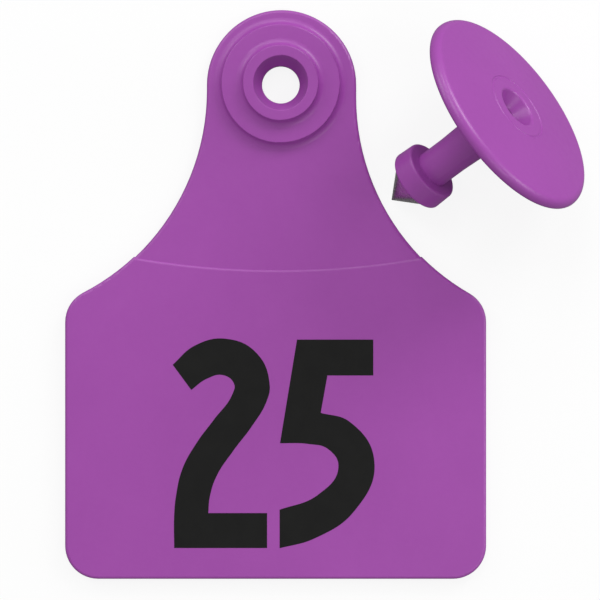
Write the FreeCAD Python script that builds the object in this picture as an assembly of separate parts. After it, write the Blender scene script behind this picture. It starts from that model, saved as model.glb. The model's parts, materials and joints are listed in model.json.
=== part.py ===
import FreeCAD, Part

# Two-piece livestock ear tag, as supplied: the panel lies on its back and the button lies on its side
# next to it. Millimetres, +Z up. The origin is the axis of the panel's hole, at the panel's back face.
#
#   tag_panel    flexible moulding: a flat field under a narrow neck, and a stepped boss round the hole
#   button_stud  moulded disc and shank in one, with an enlarged head and a blind hole for the pliers' pin
#   metal_tip    turned piercing point with a grooved anchor, moulded into the head
#
# The shank is a running fit in the panel's hole. The head is wider than the hole, so that once it is
# pushed through it can't come back. The button rests on its disc's back edge and its head's front edge.

import math
import os

from FreeCAD import Placement, Rotation, Vector

# Panel outline, seen from the printed side
PANEL_WIDTH = 57.0
PANEL_BOTTOM = -66.9        # lower edge, below the hole's axis
PANEL_SHOULDER = -27.65     # top of the upper corners' arcs
PANEL_MIDDLE = -0.7         # the printed field hangs this far off the hole's axis
CORNER_R = 4.5
NECK_MIDDLE = 0.1           # the neck stands this far off the hole's axis
NECK_HALF = 10.12           # the neck's rounded top has the same radius
FLARE_R = 31.1              # concave arcs from the neck out to the upper corners
STEP_Y = -23.3              # ends of the step line between the neck and the field
STEP_HALF = 19.3
STEP_MIDDLE = -0.4
STEP_SAG = 1.7              # the step line bows down by this much
STEP_LEDGE = 0.18           # the field stands out sideways past the neck by this much
NECK_LAP = 3.0              # how far the neck's plate runs on inside the field's

# Panel thickness and edges
NECK_T = 1.5
FIELD_T = 1.65
EDGE_R = 0.45               # moulded rounding all round, front and back

# Boss round the hole, two tiers with concave coves under their edges
TIER = 1.05                 # height of each tier, and radius of its cove
FLANGE_R = 8.0
COLLAR_R = 5.08
RIM_BREAK = 0.12            # rounding of the tiers' upper edges
BORE_R = 2.55
LEAD_R = 3.0                # chamfer at the back, where the stud's point goes in
LEAD_DEPTH = 0.4
BORE_TOP = 1.3              # height at which the bore opens into the bowl
BOWL_R = 3.62               # mouth of the bowl that the head is pulled down on
BOWL_LIP = 0.15
BOWL_SAG = 0.12             # how far the bowl's wall bulges outwards, midway

# Button: distances run along its axis from the middle of the outer face towards the point
DISC_R = 14.38
DISC_DOME = 0.57            # drop of the outer face from its middle to where the rim's rounding starts
DISC_RIM = 1.62             # rim thickness
RIM_FRONT_R = 1.1
RIM_BACK_R = 0.5
DISC_TAPER = 0.3            # the disc's back swells by this much towards the shank
ROOT_R = 0.6                # fillet between disc and shank
SHANK_R = BORE_R - 0.05     # where the panel turns on it, behind the head
RUN_LENGTH = 3.8            # length of the shank that stays cylindrical for the panel
SHANK_ROOT_R = 2.85         # the rest widens to this at the disc
HEAD_BACK = 15.22           # face of the head that holds the panel
HEAD_LENGTH = 2.98
HEAD_BACK_R = 4.19
HEAD_FRONT_R = 4.29
HEAD_BACK_EDGE = 0.36
HEAD_FRONT_EDGE = 0.32
RING_R = 4.65               # fine witness groove round the applicator hole
RING_HALF = 0.22
RING_DEPTH = 0.12
PIN_HOLE_R = 1.5            # blind hole down the shank
PIN_HOLE_START = 3.4
PIN_HOLE_DEPTH = 14.3
PIN_HOLE_CONE = 0.7
THROAT_R = 1.75             # foot of the funnel, from which a slow taper leads into the pin hole
THROAT_DEPTH = 2.0
FUNNEL_R = 3.15             # where the funnel's lip meets the outer face
FUNNEL_LIP = 0.5

# Metal tip
TIP_BASE_R = 3.74
TIP_LENGTH = 4.67
TIP_NOSE = 0.1              # radius of the point
ANCHOR_R = 1.7
ANCHOR_LENGTH = 2.6
ANCHOR_GROOVE = 0.45        # depth of the groove that the plastic locks into
ANCHOR_LAND = 0.8           # full-size length at each end of the groove

# Where the button lies: middle of its outer face seen from above, and the way that face looks
BUTTON_X = 30.68
BUTTON_Y = -4.19
BUTTON_TURN = math.radians(36.05)


def line(start, end):
    return Part.LineSegment(start, end).toShape()


def arc(start, end, centre):
    """The shorter arc from start to end about centre."""
    middle = (start - centre) + (end - centre)
    middle.normalize()
    return Part.Arc(start, centre + middle * (start - centre).Length, end).toShape()


def section(radius, height):
    """A point of a profile that is turned about Z."""
    return Vector(radius, 0, height)


def turned(edges):
    face = Part.Face(Part.Wire(Part.__sortEdges__(edges)))
    return face.revolve(Vector(0, 0, 0), Vector(0, 0, 1), 360)


def where_circles_meet(centre_a, radius_a, centre_b, radius_b, side):
    """The crossing of two circles on the given side, +1 or -1 in X, of their line of centres."""
    span = centre_b - centre_a
    along = (radius_a**2 - radius_b**2 + span.Length**2) / (2 * span.Length)
    across = math.sqrt(radius_a**2 - along**2)
    unit = Vector(span).normalize()
    normal = Vector(-unit.y, unit.x, 0)
    if normal.x * side < 0:
        normal = -normal
    return centre_a + unit * along + normal * across


# Panel

def step_end(side):
    return Vector(STEP_MIDDLE + side * STEP_HALF, STEP_Y, 0)


def flare_centre(side):
    """Centre of the arc that leaves the neck's straight side and runs out to the step line's end."""
    x = NECK_MIDDLE + side * (NECK_HALF + FLARE_R)
    end = step_end(side)
    return Vector(x, end.y + math.sqrt(FLARE_R**2 - (end.x - x) ** 2), 0)


def neck_outline():
    edges = []
    feet = []
    for side in (-1, 1):
        centre = flare_centre(side)
        foot_y = STEP_Y - NECK_LAP
        foot_x = centre.x - side * math.sqrt(FLARE_R**2 - (centre.y - foot_y) ** 2)
        foot = Vector(foot_x, foot_y, 0)
        wall = NECK_MIDDLE + side * NECK_HALF
        waist = Vector(wall, centre.y, 0)
        edges += [arc(foot, waist, centre), line(waist, Vector(wall, 0, 0))]
        feet.append(foot)
    left, right = NECK_MIDDLE - NECK_HALF, NECK_MIDDLE + NECK_HALF
    crown = Part.Arc(Vector(left, 0, 0), Vector(NECK_MIDDLE, NECK_HALF, 0), Vector(right, 0, 0))
    return edges + [crown.toShape(), line(*feet)]


def field_outline():
    """Printed field: step line, concave shoulders, straight sides and four round corners."""
    edges = []
    ledges = []
    lowest = []
    for side in (-1, 1):
        wall = PANEL_MIDDLE + side * PANEL_WIDTH / 2
        inner = wall - side * CORNER_R
        ledge = step_end(side) + Vector(side * STEP_LEDGE, 0, 0)
        corner = Vector(inner, PANEL_SHOULDER - CORNER_R, 0)
        shoulder = where_circles_meet(ledge, FLARE_R, corner, FLARE_R + CORNER_R, side)
        tangent = corner + (shoulder - corner).normalize() * CORNER_R
        low_corner = Vector(inner, PANEL_BOTTOM + CORNER_R, 0)
        low_end = Vector(inner, PANEL_BOTTOM, 0)
        edges += [
            arc(ledge, tangent, shoulder),
            arc(tangent, Vector(wall, corner.y, 0), corner),
            line(Vector(wall, corner.y, 0), Vector(wall, low_corner.y, 0)),
            arc(Vector(wall, low_corner.y, 0), low_end, low_corner),
        ]
        ledges.append(ledge)
        lowest.append(low_end)
    bow = Part.Arc(ledges[0], Vector(STEP_MIDDLE, STEP_Y - STEP_SAG, 0), ledges[1])
    return edges + [bow.toShape(), line(*lowest)]


def plate(outline, thickness):
    """A flat plate with all its front and back edges rounded."""
    face = Part.Face(Part.Wire(Part.__sortEdges__(outline)))
    solid = face.extrude(Vector(0, 0, thickness))
    rims = [edge for edge in solid.Edges if edge.BoundBox.ZLength < 1e-6]
    return solid.makeFillet(EDGE_R, rims)


def tier_edges(rim_r, top, inner_r):
    """One tier of the boss, from its flat top out over the rim and down the cove to the tier below."""
    rim = rim_r - RIM_BREAK
    foot = section(rim_r + TIER, top - TIER)
    brow = section(rim_r, top - RIM_BREAK)
    middle = section(rim_r + TIER, top)
    cove_top = section(middle.x - math.sqrt(TIER**2 - RIM_BREAK**2), brow.z)
    return [
        line(section(inner_r, top), section(rim, top)),
        arc(section(rim, top), brow, section(rim, brow.z)),
        line(brow, cove_top),
        arc(cove_top, foot, middle),
    ]


def boss_ring():
    """The whole boss down to the back face, with the hole and its bowl."""
    flange_top = NECK_T + TIER
    collar_top = flange_top + TIER
    lip = section(BOWL_R, collar_top - BOWL_LIP)
    lip_top = section(BOWL_R + BOWL_LIP, collar_top)
    bowl_foot = section(BORE_R, BORE_TOP)
    slope = Vector(lip - bowl_foot).normalize()
    bowl_middle = (lip + bowl_foot) * 0.5 + section(slope.z, -slope.x) * BOWL_SAG
    lead_top = section(BORE_R, LEAD_DEPTH)
    lead_edge = section(LEAD_R, 0)
    outer = section(FLANGE_R + TIER, 0)
    edges = [
        line(lead_edge, lead_top),
        line(lead_top, bowl_foot),
        Part.Arc(bowl_foot, bowl_middle, lip).toShape(),
        arc(lip, lip_top, section(lip_top.x, lip.z)),
        *tier_edges(COLLAR_R, collar_top, lip_top.x),
        *tier_edges(FLANGE_R, flange_top, COLLAR_R + TIER),
        line(section(outer.x, NECK_T), outer),
        line(outer, lead_edge),
    ]
    return turned(edges)


def tag_panel():
    body = plate(neck_outline(), NECK_T).fuse(plate(field_outline(), FIELD_T))
    seat = Part.makeCylinder(FLANGE_R + TIER, NECK_T)
    return body.cut(seat).fuse(boss_ring()).removeSplitter().Solids[0]


# Button, modelled upright on Z with the outer face at the bottom and the point at the top

def dome_centre():
    """Centre of the sphere that the outer face is part of."""
    reach = DISC_R - RIM_FRONT_R
    radius = (reach**2 + DISC_DOME**2) / (2 * DISC_DOME)
    return section(0, radius)


def on_dome(radius):
    ball = dome_centre().z
    return section(radius, ball - math.sqrt(ball**2 - radius**2))


def funnel_edges():
    """Blind pin hole with its funnel, out to the lip on the outer face."""
    face = on_dome(FUNNEL_R)
    lip_centre = section(face.x, face.z + FUNNEL_LIP)
    throat = section(THROAT_R, THROAT_DEPTH)
    gap = lip_centre - throat
    lean = math.atan2(gap.z, gap.x) - math.asin(FUNNEL_LIP / gap.Length)
    touch = lip_centre + section(math.sin(lean), -math.cos(lean)) * FUNNEL_LIP
    hole_start = section(PIN_HOLE_R, PIN_HOLE_START)
    hole_end = section(PIN_HOLE_R, PIN_HOLE_DEPTH)
    return [
        line(section(0, PIN_HOLE_DEPTH + PIN_HOLE_CONE), hole_end),
        line(hole_end, hole_start),
        line(hole_start, throat),
        line(throat, touch),
        arc(touch, face, lip_centre),
    ]


def outer_face_edges():
    inner, outer = on_dome(RING_R - RING_HALF), on_dome(RING_R + RING_HALF)
    floor = on_dome(RING_R) + section(0, RING_DEPTH)
    return [
        arc(on_dome(FUNNEL_R), inner, dome_centre()),
        Part.Arc(inner, floor, outer).toShape(),
        arc(outer, on_dome(DISC_R - RIM_FRONT_R), dome_centre()),
    ]


def rim_back():
    """Centre of the rounding at the back of the rim, where the disc meets the ground."""
    return section(DISC_R - RIM_BACK_R, DISC_DOME + DISC_RIM - RIM_BACK_R)


def head_front():
    """Centre of the rounding at the front of the head, where the head meets the ground."""
    return section(HEAD_FRONT_R - HEAD_FRONT_EDGE, HEAD_BACK + HEAD_LENGTH - HEAD_FRONT_EDGE)


def disc_edges():
    start = on_dome(DISC_R - RIM_FRONT_R)
    front = section(DISC_R - RIM_FRONT_R, DISC_DOME + RIM_FRONT_R)
    back = rim_back()
    heel = back + section(0, RIM_BACK_R)
    shoulder = section(SHANK_ROOT_R + ROOT_R, heel.z + DISC_TAPER)
    root = section(SHANK_ROOT_R, shoulder.z + ROOT_R)
    run_start = section(SHANK_R, HEAD_BACK - RUN_LENGTH)
    return [
        arc(start, section(DISC_R, front.z), front),
        line(section(DISC_R, front.z), section(DISC_R, back.z)),
        arc(section(DISC_R, back.z), heel, back),
        line(heel, shoulder),
        arc(shoulder, root, section(shoulder.x, root.z)),
        line(root, run_start),
        line(run_start, section(SHANK_R, HEAD_BACK)),
    ]


def head_edges():
    back_edge = section(HEAD_BACK_R - HEAD_BACK_EDGE, HEAD_BACK)
    back_side = section(HEAD_BACK_R, HEAD_BACK + HEAD_BACK_EDGE)
    centre = head_front()
    front_side = section(HEAD_FRONT_R, centre.z)
    front_edge = centre + section(0, HEAD_FRONT_EDGE)
    return [
        line(section(SHANK_R, HEAD_BACK), back_edge),
        arc(back_edge, back_side, section(back_edge.x, back_side.z)),
        line(back_side, front_side),
        arc(front_side, front_edge, centre),
        line(front_edge, section(ANCHOR_R, front_edge.z)),
    ]


def anchor_edges():
    """Grooved anchor of the metal tip, and the socket of the same shape in the head."""
    mouth = HEAD_BACK + HEAD_LENGTH
    floor = mouth - ANCHOR_LENGTH
    neck_r = ANCHOR_R - ANCHOR_GROOVE
    corners = [
        section(ANCHOR_R, mouth),
        section(ANCHOR_R, mouth - ANCHOR_LAND),
        section(neck_r, mouth - ANCHOR_LAND),
        section(neck_r, floor + ANCHOR_LAND),
        section(ANCHOR_R, floor + ANCHOR_LAND),
        section(ANCHOR_R, floor),
        section(0, floor),
    ]
    return [line(a, b) for a, b in zip(corners, corners[1:])]


def button_stud():
    spine = line(
        section(0, HEAD_BACK + HEAD_LENGTH - ANCHOR_LENGTH),
        section(0, PIN_HOLE_DEPTH + PIN_HOLE_CONE),
    )
    profile = funnel_edges() + outer_face_edges() + disc_edges() + head_edges() + anchor_edges()
    return turned(profile + [spine])


def metal_tip():
    base = HEAD_BACK + HEAD_LENGTH
    half_angle = math.atan2(TIP_BASE_R, TIP_LENGTH)
    nose_centre = section(0, base + TIP_LENGTH - TIP_NOSE / math.sin(half_angle))
    tangent = nose_centre + section(math.cos(half_angle), math.sin(half_angle)) * TIP_NOSE
    point = nose_centre + section(0, TIP_NOSE)
    edges = [
        line(section(ANCHOR_R, base), section(TIP_BASE_R, base)),
        line(section(TIP_BASE_R, base), tangent),
        arc(tangent, point, nose_centre),
        line(point, section(0, base - ANCHOR_LENGTH)),
    ]
    return turned(edges + anchor_edges())


def button_rest():
    """Lay the button on its side, so that the rim's and the head's roundings both touch the ground."""
    span = head_front() - rim_back()
    lean = math.atan2(-span.x, span.z) - math.asin((HEAD_FRONT_EDGE - RIM_BACK_R) / span.Length)
    rim = rim_back()
    height = rim.x * math.cos(lean) + rim.z * math.sin(lean) + RIM_BACK_R
    towards_point = Vector(
        -math.cos(BUTTON_TURN) * math.cos(lean),
        -math.sin(BUTTON_TURN) * math.cos(lean),
        -math.sin(lean),
    )
    return Placement(Vector(BUTTON_X, BUTTON_Y, height), Rotation(Vector(0, 0, 1), towards_point))


def build():
    parts = {"tag_panel": tag_panel(), "button_stud": button_stud(), "metal_tip": metal_tip()}
    rest = button_rest()
    for name in ("button_stud", "metal_tip"):
        parts[name].Placement = rest
    os.makedirs("parts", exist_ok=True)
    for name, shape in parts.items():
        shape.exportStep(f"parts/{name}.step")
        box = shape.optimalBoundingBox()
        size = f"{box.XLength:.2f} x {box.YLength:.2f} x {box.ZLength:.2f}, lowest {box.ZMin:.3f}"
        print(name, shape.ShapeType, "valid:", shape.isValid(), "volume:", round(shape.Volume, 1), size)


build()
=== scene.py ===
import json
import math

import bpy
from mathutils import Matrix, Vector


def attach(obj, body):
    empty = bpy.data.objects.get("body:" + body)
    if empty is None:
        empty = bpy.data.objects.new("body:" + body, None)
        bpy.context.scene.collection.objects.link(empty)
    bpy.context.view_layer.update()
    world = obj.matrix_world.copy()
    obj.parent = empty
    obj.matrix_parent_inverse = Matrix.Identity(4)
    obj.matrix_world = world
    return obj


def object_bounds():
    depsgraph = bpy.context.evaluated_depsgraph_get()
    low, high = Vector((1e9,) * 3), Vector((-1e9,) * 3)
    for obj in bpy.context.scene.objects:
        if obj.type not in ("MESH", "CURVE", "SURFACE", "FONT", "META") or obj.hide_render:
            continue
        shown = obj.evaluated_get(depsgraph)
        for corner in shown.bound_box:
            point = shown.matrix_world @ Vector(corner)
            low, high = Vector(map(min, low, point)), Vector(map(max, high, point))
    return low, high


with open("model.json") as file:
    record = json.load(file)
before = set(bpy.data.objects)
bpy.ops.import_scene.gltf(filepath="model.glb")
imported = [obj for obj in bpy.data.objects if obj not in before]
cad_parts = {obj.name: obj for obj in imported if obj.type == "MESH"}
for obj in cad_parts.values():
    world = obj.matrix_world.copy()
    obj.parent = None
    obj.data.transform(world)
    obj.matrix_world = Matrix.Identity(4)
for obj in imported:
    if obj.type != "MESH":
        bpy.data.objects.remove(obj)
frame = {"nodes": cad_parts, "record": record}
cad_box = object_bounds()

MM = 0.001                  # metres
WHITE = (1.0, 1.0, 1.0, 1.0)

# Camera: straight above the tag, as a product picture is taken
CAMERA_SPOT = (2.60 * MM, -29.15 * MM)
CAMERA_HEIGHT = 251.7 * MM
LENS_MM = 111.0
SENSOR_MM = 36.0
CLIP_START = 0.01
CLIP_END = 20.0

# Light: a soft dome and a ring of soft boxes, strongest at the upper right of the picture.
# Each level is what the light adds to the brightness of a level white surface.
# Together they make about 1.
SKY_LEVEL = 0.42
LAMP_DISTANCE = 0.7
LAMPS = {
    "key_lamp": {"azimuth": 52.0, "elevation": 24.0, "size": 0.30, "level": 0.16},
    "right_lamp": {"azimuth": 0.0, "elevation": 22.0, "size": 0.25, "level": 0.07},
    "back_lamp": {"azimuth": 95.0, "elevation": 30.0, "size": 0.25, "level": 0.07},
    "left_lamp": {"azimuth": 138.0, "elevation": 22.0, "size": 0.25, "level": 0.065},
    "high_right_lamp": {"azimuth": 315.0, "elevation": 55.0, "size": 0.25, "level": 0.085},
    "high_left_lamp": {"azimuth": 115.0, "elevation": 55.0, "size": 0.25, "level": 0.12},
}

# Floor
FLOOR_SIZE = 6.0
FLOOR_DROP = 0.05 * MM
FLOOR_BOUNCE = 0.25         # how much light the floor gives back to the object's underside
FLOOR_GLOW = 0.86           # share of plain white in what the camera sees of it
FLOOR_PAINT = (0.98, 0.98, 0.98, 1.0)   # the rest, which takes the object's shadow

# Colours, linear
PURPLE = (0.372, 0.070, 0.413, 1.0)
PURPLE_DEEP = (0.345, 0.063, 0.385, 1.0)
INK = (0.0055, 0.0055, 0.0053, 1.0)
INK_WORN = (0.0075, 0.0075, 0.0072, 1.0)
STEEL = (0.74, 0.74, 0.72, 1.0)
STEEL_GROOVE = (0.60, 0.60, 0.58, 1.0)

# Plastic: sizes of its patterns, and the heights of the last two
CLOUD_SIZE = 18 * MM
SPECK_SIZE = 0.6 * MM
SPECK_SHARE = 0.2           # of the colour's variation; the clouds make the rest
SHEEN_PATCH_SIZE = 1.1 * MM
SHEEN_LESS, SHEEN_MORE = 0.04, 0.05     # how far the roughness goes below and above its middle
PEEL_SIZE = 2.2 * MM
GRAIN_SIZE = 0.22 * MM
GRAIN_HEIGHT = 0.0025 * MM
PLASTIC_IOR = 1.5
PANEL_ROUGHNESS, PANEL_PEEL = 0.37, 0.008 * MM
STUD_ROUGHNESS, STUD_PEEL = 0.33, 0.006 * MM

# Steel
GROOVE_PITCH = 0.12 * MM
GROOVE_HEIGHT = 0.004 * MM
STEEL_PATCH_SIZE = 0.5 * MM
STEEL_ROUGHNESS = (0.20, 0.30)

# Ink
INK_PATCH_SIZE = 3 * MM
INK_SHEEN_PATCH_SIZE = 0.9 * MM
INK_ROUGHNESS = (0.52, 0.62)
INK_SPECULAR = 0.2
INK_GRAIN_SIZE = 0.18 * MM
INK_GRAIN_HEIGHT = 0.002 * MM

# Print
FIELD_TOP = 1.65 * MM       # front of the printed field
PRINT_LIFT = 0.02 * MM      # how far the print stands proud of the panel
PRINT_SINK = 0.05 * MM      # how deep the print's back lies in the panel
PRINT_STEPS = 16            # straight pieces in each curved stretch of an outline


# Shader nodes

class Shader:
    """A material's node tree, with short calls that add a node and return its output."""

    NOISE_RANGE = (0.3, 0.7)    # where most of a noise's values lie

    def __init__(self, name):
        self.material = bpy.data.materials.new(name)
        self.material.use_nodes = True
        self.tree = self.material.node_tree
        self.tree.nodes.clear()

    def node(self, kind, settings=None, **inputs):
        made = self.tree.nodes.new(kind)
        for key, value in (settings or {}).items():
            setattr(made, key, value)
        for key, value in inputs.items():
            self.put(made.inputs[key.replace("_", " ")], value)
        return made

    def put(self, socket, value):
        if isinstance(value, bpy.types.NodeSocket):
            self.tree.links.new(value, socket)
        else:
            socket.default_value = value

    def place(self):
        return self.node("ShaderNodeTexCoord").outputs["Object"]

    def noise(self, feature, detail=3.0, roughness=0.5):
        """Noise whose features are about the given size in metres, from 0 to 1."""
        made = self.node(
            "ShaderNodeTexNoise", Scale=1.0 / feature, Detail=detail, Roughness=roughness
        )
        self.put(made.inputs["Vector"], self.place())
        return made.outputs["Fac"]

    def spread(self, value, low, high):
        """Stretches a noise over the range from low to high."""
        start, end = self.NOISE_RANGE
        made = self.node("ShaderNodeMapRange")
        ends = {"From Min": start, "From Max": end, "To Min": low, "To Max": high}
        for key, number in ends.items():
            made.inputs[key].default_value = number
        self.put(made.inputs["Value"], value)
        return made.outputs["Result"]

    def math(self, operation, first, second):
        made = self.node("ShaderNodeMath", {"operation": operation})
        self.put(made.inputs[0], first)
        self.put(made.inputs[1], second)
        return made.outputs[0]

    def mix(self, share, first, second):
        made = self.node("ShaderNodeMix", {"data_type": "RGBA"})
        self.put(made.inputs["Factor"], share)
        colours = [socket for socket in made.inputs if socket.type == "RGBA"]
        for socket, colour in zip(colours, (first, second)):
            socket.default_value = colour
        return next(socket for socket in made.outputs if socket.type == "RGBA")

    def bump(self, height, distance, normal=None):
        made = self.node("ShaderNodeBump", Strength=1.0, Distance=distance, Height=height)
        if normal is not None:
            self.put(made.inputs["Normal"], normal)
        return made.outputs["Normal"]

    def finish(self, surface):
        out = self.node("ShaderNodeOutputMaterial")
        self.tree.links.new(surface.outputs[0], out.inputs["Surface"])
        return self.material


def moulded_plastic(name, roughness, peel):
    """Satin moulded plastic: faint clouds of colour, a fine orange peel, and a finer grain."""
    s = Shader(name)
    clouds = s.noise(CLOUD_SIZE, detail=4.0, roughness=0.6)
    specks = s.noise(SPECK_SIZE, detail=2.0)
    tone = s.math(
        "ADD",
        s.math("MULTIPLY", clouds, 1 - SPECK_SHARE),
        s.math("MULTIPLY", specks, SPECK_SHARE),
    )
    colour = s.mix(s.spread(tone, 0.0, 1.0), PURPLE_DEEP, PURPLE)
    waves = s.bump(s.noise(PEEL_SIZE, detail=2.0), peel)
    grain = s.bump(s.noise(GRAIN_SIZE, detail=2.0), GRAIN_HEIGHT, normal=waves)
    sheen = s.noise(SHEEN_PATCH_SIZE)
    surface = s.node(
        "ShaderNodeBsdfPrincipled",
        Base_Color=colour,
        Roughness=s.spread(sheen, roughness - SHEEN_LESS, roughness + SHEEN_MORE),
        IOR=PLASTIC_IOR,
        Normal=grain,
    )
    return s.finish(surface)


def turned_steel(name):
    """Plain steel with the fine grooves that a lathe tool leaves, square to the stud's axis."""
    s = Shader(name)
    mount = next(m for m in frame["record"]["mounts"] if m["name"] == "applicator_bore")
    along = s.node("ShaderNodeVectorMath", {"operation": "DOT_PRODUCT"})
    s.put(along.inputs[0], s.place())
    along.inputs[1].default_value = mount["axis"]
    lines = s.node("ShaderNodeTexNoise", {"noise_dimensions": "1D"}, Scale=1.0, Detail=3.0)
    s.put(lines.inputs["W"], s.math("MULTIPLY", along.outputs["Value"], 1.0 / GROOVE_PITCH))
    grooves = lines.outputs["Fac"]
    surface = s.node(
        "ShaderNodeBsdfPrincipled",
        Base_Color=s.mix(s.spread(grooves, 0.0, 1.0), STEEL_GROOVE, STEEL),
        Metallic=1.0,
        Roughness=s.spread(s.noise(STEEL_PATCH_SIZE), *STEEL_ROUGHNESS),
        Normal=s.bump(grooves, GROOVE_HEIGHT),
    )
    return s.finish(surface)


def printed_ink(name):
    """Flat black ink with faint patches and the grain of the plastic under it."""
    s = Shader(name)
    patches = s.spread(s.noise(INK_PATCH_SIZE, detail=4.0), 0.0, 1.0)
    surface = s.node(
        "ShaderNodeBsdfPrincipled",
        Base_Color=s.mix(patches, INK, INK_WORN),
        Roughness=s.spread(s.noise(INK_SHEEN_PATCH_SIZE), *INK_ROUGHNESS),
        Normal=s.bump(s.noise(INK_GRAIN_SIZE, detail=2.0), INK_GRAIN_HEIGHT),
    )
    surface.inputs["Specular IOR Level"].default_value = INK_SPECULAR
    return s.finish(surface)


def floor_white(name):
    """White to the camera, with the object's faint shadow, and grey in bounces and reflections."""
    s = Shader(name)
    path = s.node("ShaderNodeLightPath")
    seen = s.math("MAXIMUM", path.outputs["Is Camera Ray"], path.outputs["Is Transmission Ray"])
    shadowed = s.node("ShaderNodeBsdfDiffuse", Color=FLOOR_PAINT)
    glow = s.node("ShaderNodeEmission", Color=WHITE, Strength=1.0)
    pale = s.node("ShaderNodeMixShader", Fac=FLOOR_GLOW)
    s.tree.links.new(shadowed.outputs[0], pale.inputs[1])
    s.tree.links.new(glow.outputs[0], pale.inputs[2])
    grey = s.node("ShaderNodeBsdfDiffuse", Color=(*[FLOOR_BOUNCE] * 3, 1.0))
    both = s.node("ShaderNodeMixShader", Fac=seen)
    s.tree.links.new(grey.outputs[0], both.inputs[1])
    s.tree.links.new(pale.outputs[0], both.inputs[2])
    return s.finish(both)


# Print

def two():
    """Outline of the figure 2, in millimetres from the hole's axis: (x, y, corner or smooth)."""
    return [
        (-14.6, -37.9, "corner"), (-11.6, -35.3, "smooth"), (-7.3, -34.4, "smooth"),
        (-3.2, -36.4, "smooth"), (-1.5, -40.6, "smooth"), (-1.9, -42.8, "smooth"),
        (-3.9, -46.2, "smooth"), (-6.4, -49.5, "smooth"), (-8.7, -53.0, "smooth"),
        (-9.6, -55.8, "smooth"), (-9.8, -57.95, "corner"), (-1.85, -57.95, "corner"),
        (-1.85, -62.67, "corner"), (-14.4, -62.67, "corner"), (-14.4, -58.2, "smooth"),
        (-14.15, -55.6, "smooth"), (-13.3, -52.0, "smooth"), (-11.4, -48.5, "smooth"),
        (-9.1, -45.4, "smooth"), (-6.5, -41.8, "smooth"), (-6.3, -40.5, "smooth"),
        (-7.8, -39.3, "smooth"), (-10.0, -39.8, "smooth"), (-12.1, -41.3, "corner"),
    ]


def five():
    """Outline of the figure 5, in the same form."""
    return [
        (2.2, -34.5, "corner"), (12.5, -34.5, "corner"), (12.5, -39.35, "corner"),
        (6.3, -39.35, "corner"), (5.4, -44.4, "corner"), (9.3, -45.6, "smooth"),
        (12.65, -51.0, "smooth"), (10.0, -57.6, "smooth"), (4.5, -61.4, "smooth"),
        (-0.15, -62.7, "corner"), (-0.15, -57.5, "corner"), (5.0, -55.5, "smooth"),
        (7.8, -51.7, "smooth"), (6.4, -49.3, "smooth"), (3.7, -48.6, "smooth"),
        (-0.1, -48.5, "corner"),
    ]


def printed_figure(name, outline, material):
    """A thin filled shape whose front stands just proud of the printed field."""
    curve = bpy.data.curves.new(name, "CURVE")
    curve.dimensions = "2D"
    curve.fill_mode = "BOTH"
    curve.resolution_u = PRINT_STEPS
    curve.extrude = (PRINT_LIFT + PRINT_SINK) / 2
    spline = curve.splines.new("BEZIER")
    spline.bezier_points.add(len(outline) - 1)
    for point, (x, y, kind) in zip(spline.bezier_points, outline):
        point.co = (x * MM, y * MM, 0)
        handle = "VECTOR" if kind == "corner" else "AUTO"
        point.handle_left_type = point.handle_right_type = handle
    spline.use_cyclic_u = True
    curve.materials.append(material)
    piece = bpy.data.objects.new(name, curve)
    piece.location.z = FIELD_TOP + (PRINT_LIFT - PRINT_SINK) / 2
    bpy.context.scene.collection.objects.link(piece)
    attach(piece, "root")


# Studio

def floor():
    """A flat square just under the object."""
    mesh = bpy.data.meshes.new("studio_floor")
    half = FLOOR_SIZE / 2
    corners = [(-half, -half, 0), (half, -half, 0), (half, half, 0), (-half, half, 0)]
    mesh.from_pydata(corners, [], [(0, 1, 2, 3)])
    mesh.materials.append(floor_white("floor_white"))
    made = bpy.data.objects.new("studio_floor", mesh)
    made.location.z = cad_box[0][2] - FLOOR_DROP
    bpy.context.scene.collection.objects.link(made)


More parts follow.
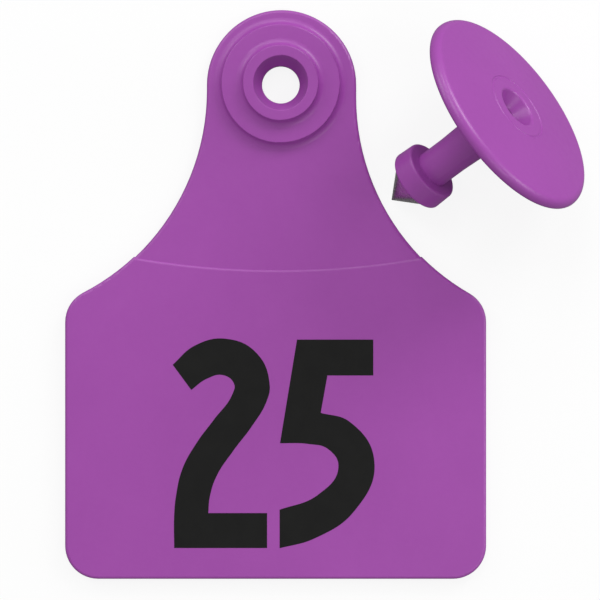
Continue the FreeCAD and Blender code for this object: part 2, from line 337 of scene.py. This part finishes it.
def sky():
    """An even dome that lights the object, and is plain white where the camera sees it."""
    world = bpy.data.worlds.new("studio_dome")
    world.use_nodes = True
    tree = world.node_tree
    tree.nodes.clear()
    path = tree.nodes.new("ShaderNodeLightPath")
    level = tree.nodes.new("ShaderNodeMapRange")
    level.inputs["To Min"].default_value = SKY_LEVEL
    level.inputs["To Max"].default_value = 1.0
    tree.links.new(path.outputs["Is Camera Ray"], level.inputs["Value"])
    background = tree.nodes.new("ShaderNodeBackground")
    background.inputs["Color"].default_value = WHITE
    tree.links.new(level.outputs["Result"], background.inputs["Strength"])
    out = tree.nodes.new("ShaderNodeOutputWorld")
    tree.links.new(background.outputs[0], out.inputs["Surface"])
    bpy.context.scene.world = world


def lamp(name, azimuth, elevation, size, level):
    """A square soft box aimed at the tag."""
    data = bpy.data.lights.new(name, "AREA")
    data.size = size
    around, up = math.radians(azimuth), math.radians(elevation)
    data.energy = level * math.pi**2 * LAMP_DISTANCE**2 / math.sin(up)
    flat = math.cos(up)
    away = Vector((math.cos(around) * flat, math.sin(around) * flat, math.sin(up)))
    made = bpy.data.objects.new(name, data)
    middle = (Vector(cad_box[0]) + Vector(cad_box[1])) / 2
    made.location = middle + away * LAMP_DISTANCE
    made.rotation_euler = away.to_track_quat("Z", "Y").to_euler()
    bpy.context.scene.collection.objects.link(made)


def camera():
    """Looks straight down."""
    data = bpy.data.cameras.new("camera")
    data.lens = LENS_MM
    data.sensor_width = SENSOR_MM
    data.clip_start = CLIP_START
    data.clip_end = CLIP_END
    made = bpy.data.objects.new("camera", data)
    made.location = (*CAMERA_SPOT, CAMERA_HEIGHT)
    bpy.context.scene.collection.objects.link(made)
    bpy.context.scene.camera = made


def dress(node, material):
    """Gives a CAD node its material."""
    for place in frame["nodes"][node].material_slots:
        place.material = material


def main():
    camera()
    sky()
    for name, place in LAMPS.items():
        lamp(name, **place)
    floor()
    dress("tag_panel", moulded_plastic("purple_panel", PANEL_ROUGHNESS, PANEL_PEEL))
    dress("button_stud", moulded_plastic("purple_stud", STUD_ROUGHNESS, STUD_PEEL))
    dress("metal_tip", turned_steel("steel_tip"))
    ink = printed_ink("black_ink")
    printed_figure("figure_two", two(), ink)
    printed_figure("figure_five", five(), ink)
    bpy.context.scene.view_settings.view_transform = "Standard"


main()
